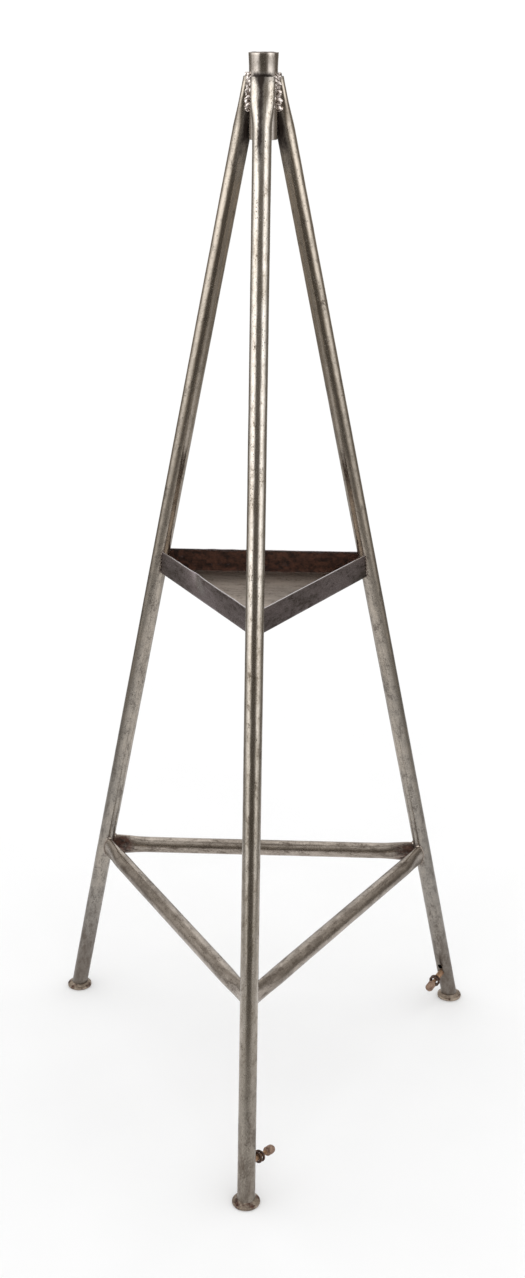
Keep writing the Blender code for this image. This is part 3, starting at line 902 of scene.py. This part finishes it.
def build_foot(name, seed, leg_cutter):
    """A disc with a lumpy fillet of weld round the bottom of the tube."""
    rim = FOOT_DISC_RADIUS
    fillet_top = 0.0078
    fillet_width = 0.0062
    fillet_rise = 0.0037
    profile = [(0, fillet_top), (0.006, fillet_top), (0.0118, fillet_top)]
    for part in np.linspace(0, 1, 13):
        height = FOOT_THICKNESS + fillet_rise * (1 - part) ** 1.25
        profile.append((LEG_RADIUS + part * fillet_width, height))
    profile += [(rim - 0.0011, 0.00395), (rim - 0.0005, 0.0037), (rim - 0.0001, 0.0031), (rim, 0.0024)]
    profile += [(rim, 0.0012), (rim - 0.0003, 0.0004), (rim - 0.0010, 0), (rim * 0.6, 0), (0, 0)]
    foot = lathe("foot_disc_" + name, profile, TURNED_SIDES * 2)
    points = points_of(foot)
    away = from_axis(points)
    top = step(points[:, 2], 0.001, 0.0038)
    edge = step(away, rim - 0.003, rim)
    fillet = step(away, 0.0195, 0.015) * top
    shift = 0.0008 * lumps(points, 0.0055, seed) + 0.0004 * lumps(points, 0.0024, seed + 2)
    points[:, 2] += shift * fillet + 0.00022 * lumps(points, 0.005, seed + 7) * top * (1 - edge)
    flat = points * [1, 1, 0] / np.maximum(away, 1e-6)[:, None]
    points -= flat * (np.abs(0.00035 * lumps(points, 0.007, seed + 4)) * edge)[:, None]
    centre = turned([FOOT_RADIUS, 0, 0], LEGS[name])
    move_points(foot, points + centre)
    carve(foot, leg_cutter)
    points = points_of(foot)
    local = points - centre
    away = from_axis(local)
    seam = 1 - step(np.abs(away - 0.0175), 0.0, 0.0015)
    paint(
        foot,
        local + [0, 0, 1.7 * seed],
        age=0.5,
        rust=0.30 + 0.10 * seam + 0.45 * lumps(points, 0.007, seed),
        scale=0.40 * step(-local[:, 2], -0.003, 0) + 0.2 * lumps(points, 0.004, seed + 6),
        wear=0.30 * step(away, rim - 0.0016, rim - 0.0006),
    )
    finish_piece(foot, FOOT_STEEL, ["foot_" + name])


# The studs, spring washers and cap nuts.

def reach_along(node, matrix):
    """Where a node of the frame starts and ends along a stud."""
    inverse = matrix.inverted()
    heights = [(inverse @ v.co).z for v in frame["nodes"][node].data.vertices]
    return min(heights), max(heights)


def build_stud(name, seed, matrix):
    """A shouldered bolt with a real thread on its thin end."""
    angles = full_turn(TURNED_SIDES)
    rings = [(STUD_HEAD - 0.0004, 0.0045), (STUD_HEAD, 0.0049), (STUD_HEAD, 0.0086)]
    rings += [(STUD_HEAD - 0.0003, 0.0089), (STUD_SHOULDER, 0.0091)]
    rings += [(STUD_SHOULDER, z) for z in np.linspace(0.0105, 0.0258, 12)]
    rings += [(STUD_SHOULDER - 0.0002, 0.0263), (STUD_ROOT + 0.0004, 0.0268)]
    end = 0.0567
    for z in np.arange(0.0272, end, THREAD_PITCH / 8):
        turn = z / THREAD_PITCH - angles / (2 * math.pi)
        wave = 2 * np.abs(turn - np.floor(turn) - 0.5)
        crest = STUD_THREAD
        if end - z < 0.0008:
            crest = crest - 0.0006 * (1 - (end - z) / 0.0008)
        rings.append((STUD_ROOT + (crest - STUD_ROOT) * step(wave, 0.05, 0.9), z))
    rows = [joined(radius * np.cos(angles), radius * np.sin(angles), z) for radius, z in rings]
    stud = loft("stud_bolt_" + name, rows)
    points = points_of(stud)
    rough = 0.00009 * lumps(points, 0.003, seed) + 0.00005 * lumps(points, 0.0012, seed + 1)
    points = points + unit(points * [1, 1, 0]) * rough[:, None]
    paint(stud, points + [0, 0, seed])
    move_points(stud, points)
    stud.data.transform(matrix)
    finish_piece(stud, STUD_RUST, ["stud_" + name])


def build_nut(name, seed, matrix):
    """A domed cap nut with a groove behind its neck and a rusted, uneven skin."""
    start, end = reach_along("cap_nut_" + name, matrix)
    radius = NUT_RADIUS
    depth = NUT_BORE_DEPTH
    profile = [(0, depth), (NUT_BORE - 0.0003, depth), (NUT_BORE, depth - 0.0005)]
    profile += [(NUT_BORE, 0.0004), (NUT_BORE + 0.0003, 0), (0.0040, 0)]
    profile += [(0.0043, 0.0004), (0.0043, 0.0020), (0.0047, 0.0024), (radius - 0.0012, 0.0025)]
    profile += [(radius - 0.0003, 0.0029), (radius, 0.0036), (radius, 0.0052), (radius - 0.0003, 0.0057)]
    profile += [(radius - 0.0003, 0.0061), (radius - 0.00005, 0.0066)]
    profile += [(radius, z) for z in np.linspace(0.0075, NUT_DOME_START, 6)]
    dome = end - start - NUT_DOME_START
    for i in range(1, 12):
        angle = math.pi / 2 * i / 12
        profile.append((radius * math.cos(angle), NUT_DOME_START + dome * math.sin(angle)))
    profile.append((0, end - start))
    nut = lathe("cap_nut_dome_" + name, profile, TURNED_SIDES)
    points = points_of(nut)
    outside = np.maximum(step(from_axis(points), 0.0038, 0.0045), step(points[:, 2], 0.0160, 0.0170))
    lump = 0.00028 * lumps(points, 0.0042, seed) + 0.00014 * lumps(points, 0.0016, seed + 2)
    points = points + points_of(nut, "normal") * ((lump - 0.00012) * outside)[:, None]
    paint(nut, points + [0, 0, seed])
    move_points(nut, points)
    nut.data.transform(matrix @ Matrix.Translation((0, 0, start)))
    finish_piece(nut, NUT_RUST, ["cap_nut_" + name], name + "_nut")


def build_spring_washer(name, seed, matrix):
    """A coil of two turns, its ends cut square."""
    low, high = reach_along("spring_washer_" + name, matrix)
    start = low + WIRE_RADIUS
    length = high - WIRE_RADIUS - start
    turns = np.linspace(0, COIL_TURNS, 150)
    angle = 2 * math.pi * turns
    height = start + length * turns / COIL_TURNS
    path = joined(COIL_RADIUS * np.cos(angle), COIL_RADIUS * np.sin(angle), height)
    tangent = unit(np.gradient(path, axis=0))
    outwards = path * [1, 1, 0] / COIL_RADIUS
    across = np.cross(tangent, outwards)
    round_wire = full_turn(24)
    rings = []
    for i in range(len(path)):
        size = WIRE_RADIUS * (1 - 0.25 * (i in (0, len(path) - 1)))
        section = np.cos(round_wire)[:, None] * outwards[i] + np.sin(round_wire)[:, None] * across[i]
        rings.append(path[i] + size * section)
    rings = np.array(rings)
    centre = path[:, None, :]
    rings = centre + (rings - centre) * (1 + 0.05 * lumps(rings, 0.0025, seed))[..., None]
    coil_piece = loft("spring_washer_coil_" + name, rings)
    paint(coil_piece, points_of(coil_piece) + [0, 0, seed])
    coil_piece.data.transform(matrix)
    finish_piece(coil_piece, SPRING_SCALE, ["spring_washer_" + name], name + "_washer")


# The welds.

def groove_middle(z, size):
    """The middle of the groove between a leg's head and the socket, for a bead of that size."""
    half_width, half_depth = head_section(min(z, LEG_TOP_Z))
    centre = float(leg_radius(z))
    low, high = 0.004, float(half_width)
    for _ in range(30):
        y = (low + high) / 2
        inner = centre - half_depth * math.sqrt(max(1 - (y / half_width) ** 2, 0))
        gap = inner - math.sqrt(SOCKET_RADIUS**2 - y * y)
        if gap > 1.35 * size:
            high = y
        else:
            low = y
    return math.sqrt(SOCKET_RADIUS**2 - y * y) + gap / 2, y


def socket_weld(name, side, seed):
    """The bead in the groove between a leg's flattened head and the socket, on one side of the leg."""
    size = 0.0032
    path = []
    top_x, top_y = groove_middle(LEG_TOP_Z, size)
    if name != "front":
        # It starts as a lump that runs over the leg's cut end.
        for out, rise in ((0.0052, 0.0004), (0.0036, 0.0016), (0.0016, 0.0022)):
            path.append((top_x + out, side * (top_y - 0.0012 + 0.25 * out), LEG_TOP_Z + rise))
    for z in np.linspace(LEG_TOP_Z + 0.0012, SQUASH_START_Z + 0.021, 24):
        x, y = groove_middle(z, size)
        path.append((x, side * (y + 0.0003), z))
    path = turned(path, LEGS[name])
    name = f"weld_socket_{name}_{'left' if side > 0 else 'right'}"
    sizes = [size * 0.85, size * 1.12, size, size * 1.15, size * 0.95]
    bead(name, path, sizes, seed, WELD, ripple=0.0052, weave=0.0013, lump=0.26, relief=0.42, sides=28)


def brace_weld(name, end, seed):
    """The fillet round the end of a brace where it meets its leg."""
    azimuth = SIDES[name]
    out = heading(azimuth)
    along = np.array([out[1], -out[0], 0]) * end
    knee = AXIS + out * KNEE_RADIUS / 2 + along * BRACE_HALF_LENGTH + [0, 0, KNEE_Z]
    inwards = (AXIS + [0, 0, KNEE_Z] - knee) / KNEE_RADIUS
    axis = unit([0, 0, 1] + inwards * LEAN_SLOPE)
    path = []
    for angle in np.radians(np.linspace(-122, 122, 60)):
        cos, sin = math.cos(angle), math.sin(angle)
        offset = BRACE_END_HALF_WIDTH * cos * out + [0, 0, BRACE_END_HALF_HEIGHT * sin]
        away = -along
        a = away - away @ axis * axis
        b = offset - offset @ axis * axis
        half_b = a @ b
        reach = (-half_b + math.sqrt(max(half_b**2 - a @ a * (b @ b - LEG_RADIUS**2), 0))) / (a @ a)
        normal = unit(BRACE_END_HALF_HEIGHT * cos * out + [0, 0, BRACE_END_HALF_WIDTH * sin])
        path.append(knee + offset + away * (reach + 0.0003) + normal * 0.0002)
    size = 0.0012
    name = f"weld_brace_{name}_{'a' if end < 0 else 'b'}"
    sizes = [size * 0.7, size, size * 0.8, size * 0.8, size * 0.9, size * 1.7, size * 1.3]
    bead(name, path, sizes, seed, BRACE_WELD, ripple=0.0022)


def corner_weld(name, seed):
    """The upright seam between the two braces that meet at a leg."""
    path = []
    for angle in np.radians(np.linspace(124, 236, 24)):
        aside = BRACE_END_HALF_WIDTH * abs(math.cos(angle))
        path.append((KNEE_RADIUS - 2 * aside, 0, KNEE_Z + BRACE_END_HALF_HEIGHT * math.sin(angle)))
    path = turned(path, LEGS[name])
    bead("weld_corner_" + name, path, 0.0013, seed, BRACE_WELD, ripple=0.0022, sides=14)


def tray_weld(name, end, seed):
    """The upright bead where the outer face of a tray wall meets a leg."""
    path = []
    for z in np.linspace(TRAY_BOTTOM_Z + 0.001, TRAY_TOP_Z - 0.0015, 20):
        radius = float(leg_radius(np.array(z)))
        beyond = TRAY_INRADIUS - radius / 2
        half = radius * math.sqrt(3) / 2 - math.sqrt(LEG_RADIUS**2 - beyond**2)
        path.append((TRAY_INRADIUS + 0.0002, -end * (half - 0.0004), z))
    size = 0.0014
    path = turned(path, SIDES[name])
    name = f"weld_tray_{name}_{'a' if end < 0 else 'b'}"
    sizes = [size, size * 1.4, size * 0.9, size * 1.3, size]
    bead(name, path, sizes, seed, TRAY_WELD, ripple=0.0028, weave=0.0006, lump=0.3, sides=18)


# The studio.

def plane(name, x, y, z, material):
    corners = [(x[0], y[0], z), (x[1], y[0], z), (x[1], y[1], z), (x[0], y[1], z)]
    thing = mesh_object(name, corners, [(0, 1, 2, 3)])
    thing.data.materials.append(material)
    return thing


def room_light(nodes):
    """What polished metal sees: two tall soft boxes in front, a dark gap between, a pale room behind."""
    x, y, z = nodes.node("SeparateXYZ", {0: nodes.place("Generated")}).outputs
    turn = nodes.product(nodes.maths("ARCTAN2", x, nodes.product(y, -1.0)), math.degrees(1))
    tilt = nodes.product(nodes.maths("ARCSINE", z), math.degrees(1))
    away = nodes.maths("ABSOLUTE", turn)
    left = nodes.product(nodes.ramp(turn, -22, -50), nodes.ramp(turn, -130, -62))
    right = nodes.product(nodes.ramp(turn, 25, 56), nodes.ramp(turn, 112, 54))
    tall = nodes.product(nodes.ramp(tilt, -24, 7), nodes.ramp(tilt, 62, 34))
    boxes = nodes.product(nodes.total((left, 1.75), (right, 1.65)), tall)
    centre = nodes.product(nodes.ramp(away, 46, 16), nodes.ramp(tilt, 48, 26))
    flank = nodes.product(nodes.ramp(away, 92, 108), nodes.ramp(away, 160, 144))
    flank = nodes.product(flank, nodes.ramp(nodes.maths("ABSOLUTE", tilt), 24, 8))
    behind = nodes.ramp(away, 144, 164)
    ceiling = nodes.ramp(tilt, 10, 30)
    overhead = nodes.ramp(tilt, 40, 64)
    level = nodes.total(
        (1.0, 0.42), (ceiling, 0.14), (overhead, 0.26), (centre, -0.27), (flank, -0.20), (behind, 0.48)
    )
    level = nodes.maths("ADD", nodes.product(level, nodes.ramp(tilt, -30, 0, 0.6, 1.0)), boxes)
    return nodes.mix(nodes.ramp(level, 0.1, 0.9), (0.96, 0.865, 0.755), (1.0, 0.99, 0.98)), level


def paper_light():
    """The pale paper round the tripod, as polished metal sees it.

    It is brightest in its middle, and ends a little in front of the tripod.
    """
    nodes = Nodes(bpy.data.materials.new("paper"))
    place = nodes.place("Object")
    x, y, _ = nodes.node("SeparateXYZ", {0: place}).outputs
    near = nodes.product(nodes.ramp(nodes.maths("ABSOLUTE", x), 2.1, 0.9), nodes.ramp(y, -1.55, -0.85))
    from_middle = nodes.node("VectorMath", {0: place}, operation="LENGTH").outputs["Value"]
    middle = nodes.ramp(from_middle, 1.7, 0.35)
    colour = nodes.mix(near, (0.95, 0.88, 0.80), (1.0, 0.985, 0.98))
    strength = nodes.total((1.0, 0.20), (near, 0.38), (middle, 0.36))
    glow = nodes.node("Emission", {"Color": colour, "Strength": strength})
    nodes.feed(nodes.tree.nodes["Material Output"], {"Surface": glow.outputs[0]})
    return nodes.owner


def build_studio():
    scene = bpy.context.scene
    scene.view_settings.view_transform = "Standard"
    world = bpy.data.worlds.new("studio")
    scene.world = world
    nodes = Nodes(world)
    # The wash is even, so the world needs no sampling of its own.
    world.cycles.sampling_method = "NONE"
    # Only polished metal sees the room. Everything else has an even white wash.
    colour, level = room_light(nodes)
    room = nodes.tree.nodes["Background"]
    nodes.feed(room, {"Color": colour, "Strength": level})
    wash = nodes.node("Background", {"Color": (1.0, 1.0, 1.0), "Strength": 1.12})
    glossy = nodes.node("LightPath").outputs["Is Glossy Ray"]
    mix = nodes.node("MixShader", {0: glossy, 1: wash.outputs[0], 2: room.outputs[0]})
    nodes.feed(nodes.tree.nodes["World Output"], {"Surface": mix.outputs[0]})
    floor = plane("floor", (-40, 40), (-40, 40), -0.0004, floor_material())
    floor.visible_glossy = False
    paper = plane("paper", (-2.3, 2.3), (-1.8, 4.0), -0.0008, paper_light())
    paper.visible_camera = False
    paper.visible_diffuse = False
    paper.visible_shadow = False


# The camera stands at eye height in front of the tripod, a little to the right of its front leg.
CAMERA_PLACE = (0.1049, -2.2435, 1.6046)
CAMERA_DOWN = math.radians(20.876)
CAMERA_TURN = math.radians(-2.504)
CAMERA_ROLL = math.radians(0.320)
CAMERA_LENS = 48.06


def build_camera():
    camera = bpy.data.cameras.new("camera")
    camera.lens = CAMERA_LENS
    camera.sensor_width = 36
    camera.sensor_fit = "AUTO"
    cos, sin = math.cos(CAMERA_DOWN), math.sin(CAMERA_DOWN)
    ahead = Vector((math.sin(CAMERA_TURN) * cos, math.cos(CAMERA_TURN) * cos, -sin))
    level = Vector((math.cos(CAMERA_TURN), -math.sin(CAMERA_TURN), 0))
    above = level.cross(ahead)
    right = math.cos(CAMERA_ROLL) * level + math.sin(CAMERA_ROLL) * above
    up = -math.sin(CAMERA_ROLL) * level + math.cos(CAMERA_ROLL) * above
    matrix = Matrix((right, up, -ahead)).transposed().to_4x4()
    matrix.translation = Vector(CAMERA_PLACE)
    thing = linked("camera", camera)
    thing.matrix_world = matrix
    bpy.context.scene.camera = thing


def main():
    build_camera()
    build_studio()
    build_socket()
    collar = socket_space()
    spaces = {name: leg_space(name) for name in LEGS}
    matrices = {name: stud_frame(name) for name in ("front", "right")}
    pins = {name: [hole_pin(matrix, STUD_HOLE_RADIUS, 0)] for name, matrix in matrices.items()}
    pins["right"].append(hole_pin(matrices["right"], SPARE_HOLE_RADIUS, SPARE_HOLE_RISE))
    for seed, name in enumerate(LEGS, 1):
        build_leg(name, seed, [collar, *pins.get(name, [])])
        build_foot(name, seed, spaces[name])
        corner_weld(name, seed)
        for side in (-1, 1):
            socket_weld(name, side, 2 * seed + side)
    for seed, (name, azimuth) in enumerate(SIDES.items(), 4):
        ends = [spaces[leg] for leg in LEGS if abs(math.cos((LEGS[leg] - azimuth) / 2)) > 0.5]
        build_brace(name, seed, ends)
        build_wall(name, seed, ends)
        for end in (-1, 1):
            brace_weld(name, end, 3 * seed + end)
            tray_weld(name, end, 5 * seed + end)
    build_tray_floor(spaces.values())
    for seed, (name, matrix) in enumerate(matrices.items(), 30):
        build_stud(name, seed, matrix)
        build_nut(name, seed, matrix)
        build_spring_washer(name, seed, matrix)
    for cutter in [collar, *spaces.values(), *(pin for found in pins.values() for pin in found)]:
        bpy.data.objects.remove(cutter)


main()
